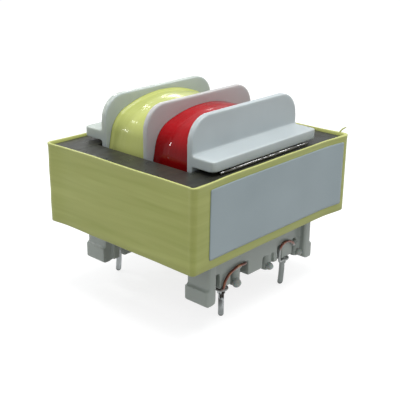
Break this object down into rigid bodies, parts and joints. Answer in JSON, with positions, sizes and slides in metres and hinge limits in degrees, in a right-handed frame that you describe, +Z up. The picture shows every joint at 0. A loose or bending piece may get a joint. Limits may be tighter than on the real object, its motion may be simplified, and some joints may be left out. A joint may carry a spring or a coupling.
{
  "type": "pcb transformer",
  "caption": "Board-mounted mains transformer: taped laminated core lying flat, split bobbin with a red and a yellow winding, bare label, round solder pins.",
  "frame": {"origin": "centre of the rectangle of four pins, in the plane where the feet meet the board", "axes": "+Z up away from the board, +X along the label, +Y to the rear along the winding axis; the label faces -Y"},
  "size_m": [0.0358, 0.0305, 0.0312],
  "materials": {
    "nylon": "milky white nylon, satin",
    "core_steel": "varnished silicon steel sheet",
    "wrap_tape": "lemon polyester tape, satin",
    "label_film": "silvery blue-grey film, matt",
    "copper": "enamelled copper wire",
    "lead_copper": "enamelled copper wire",
    "red_tape": "red polyester tape, glossy",
    "yellow_tape": "yellow polyester tape, glossy",
    "tinned_wire": "tinned, dull",
    "solder": "dull solder"
  },
  "bodies": {
    "root": {"bobbin": "nylon", "i_laminations_front": "core_steel", "i_laminations_rear": "core_steel", "e_lamination_01": "core_steel", "e_lamination_02": "core_steel", "e_lamination_03": "core_steel", "e_lamination_04": "core_steel", "e_lamination_05": "core_steel", "e_lamination_06": "core_steel", "e_lamination_07": "core_steel", "e_lamination_08": "core_steel", "e_lamination_09": "core_steel", "e_lamination_10": "core_steel", "e_lamination_11": "core_steel", "e_lamination_12": "core_steel", "e_lamination_13": "core_steel", "e_lamination_14": "core_steel", "e_lamination_15": "core_steel", "e_lamination_16": "core_steel", "e_lamination_17": "core_steel", "e_lamination_18": "core_steel", "e_lamination_19": "core_steel", "e_lamination_20": "core_steel", "e_lamination_21": "core_steel", "e_lamination_22": "core_steel", "e_lamination_23": "core_steel", "e_lamination_24": "core_steel", "core_tape": "wrap_tape", "rating_label": "label_film", "front_coil": "copper", "rear_coil": "copper", "front_coil_tape": "red_tape", "rear_coil_tape": "yellow_tape", "pin_1": "tinned_wire", "pin_2": "tinned_wire", "pin_3": "tinned_wire", "pin_4": "tinned_wire", "lead_1": "lead_copper", "lead_2": "lead_copper", "lead_3": "lead_copper", "lead_4": "lead_copper", "solder_1": "solder", "solder_2": "solder", "solder_3": "solder", "solder_4": "solder"}
  },
  "joints": []
}
